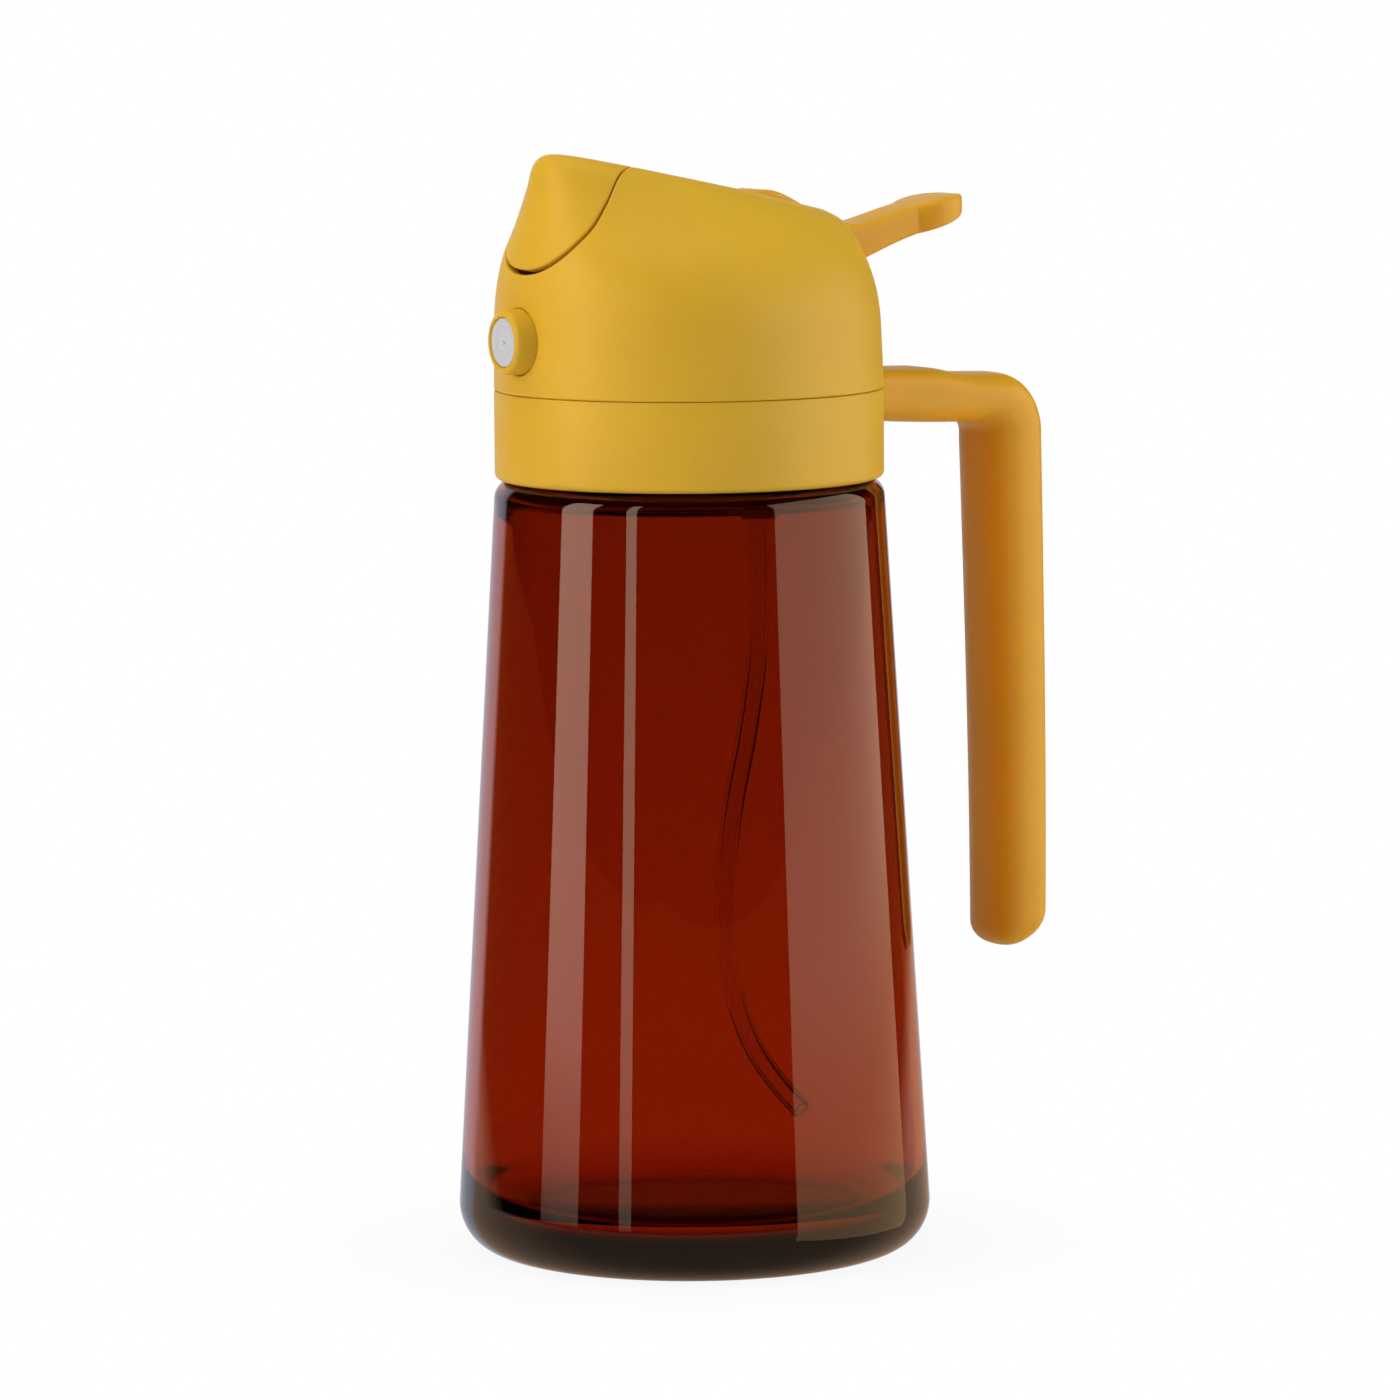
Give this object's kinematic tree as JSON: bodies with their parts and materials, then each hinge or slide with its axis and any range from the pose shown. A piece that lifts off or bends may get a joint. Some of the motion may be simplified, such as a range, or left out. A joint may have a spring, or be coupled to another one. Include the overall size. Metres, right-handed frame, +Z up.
{
  "type": "oil sprayer bottle",
  "caption": "Tapered amber glass bottle with a yellow head that sprays by a thumb lever, pours through a gravity flap, and has a side handle.",
  "frame": {"origin": "centre of the foot ring, on the surface the bottle stands on", "axes": "+Z up along the bottle axis; -X towards the nozzle and pour flap; +X towards the handle; +Y completes the right-handed frame"},
  "size_m": [0.1086, 0.08, 0.1858],
  "materials": {
    "glass": "clear amber glass, polished",
    "body_yellow": "satin moulded polypropylene, mustard yellow",
    "handle_yellow": "satin moulded polypropylene, slightly warmer yellow",
    "natural_plastic": "unfilled plastic, off-white",
    "nozzle_white": "white moulded plastic",
    "tube_plastic": "translucent flexible polyethylene",
    "silicone": "soft translucent silicone",
    "seal_rubber": "black rubber",
    "steel": "stainless steel"
  },
  "bodies": {
    "bottle": {"glass_bottle": "glass"},
    "seal": {"neck_gasket": "silicone"},
    "head": {"collar": "body_yellow", "inner_deck": "body_yellow", "head_shell": "body_yellow", "handle": "handle_yellow", "pour_channel": "body_yellow", "flap_pin": "steel", "lever_pin": "steel", "pump_body": "natural_plastic", "pump_washer": "silicone", "return_spring": "steel", "inlet_valve_seat": "natural_plastic", "dip_tube": "tube_plastic", "feed_tube": "tube_plastic", "nozzle_body": "natural_plastic", "nozzle_bezel": "body_yellow", "nozzle_insert": "nozzle_white", "swirl_core": "natural_plastic"},
    "flap": {"spout_flap": "body_yellow"},
    "lever": {"thumb_lever": "handle_yellow"},
    "piston": {"pump_piston": "natural_plastic", "piston_seal": "seal_rubber"},
    "inlet_check": {"inlet_ball": "steel"},
    "outlet_check": {"outlet_ball": "steel"}
  },
  "joints": [
    {"name": "head_unscrew", "type": "hinge", "parent": "bottle", "child": "seal", "pos_m": [0, 0, 0.14], "axis": [0, 0, 1], "range_deg": [0, 360]},
    {"name": "head_lift", "type": "slide", "parent": "seal", "child": "head", "axis": [0, 0, 1], "range_m": [0, 0.13]},
    {"name": "lever_press", "type": "hinge", "parent": "head", "child": "lever", "pos_m": [-0.00101, 0, 0.17101], "axis": [0, 1, 0], "range_deg": [0, 16], "stiffness_Nm_per_rad": 0.5, "springref_deg": -11.46},
    {"name": "piston_stroke", "type": "slide", "parent": "head", "child": "piston", "axis": [0, 0, -1], "range_m": [0, 0.0042], "deforming": ["return_spring"]},
    {"name": "flap_swing", "type": "hinge", "parent": "head", "child": "flap", "pos_m": [-0.014, 0, 0.1804], "axis": [0, 1, 0], "range_deg": [0, 40]},
    {"name": "inlet_ball_lift", "type": "slide", "parent": "head", "child": "inlet_check", "axis": [0, 0, 1], "range_m": [0, 0.0006]},
    {"name": "outlet_ball_lift", "type": "slide", "parent": "head", "child": "outlet_check", "axis": [-1, 0, 0], "range_m": [0, 0.0005]}
  ],
  "couplings": [
    {"joint": "piston_stroke", "follows": "lever_press", "m_per_rad": 0.014431}
  ]
}
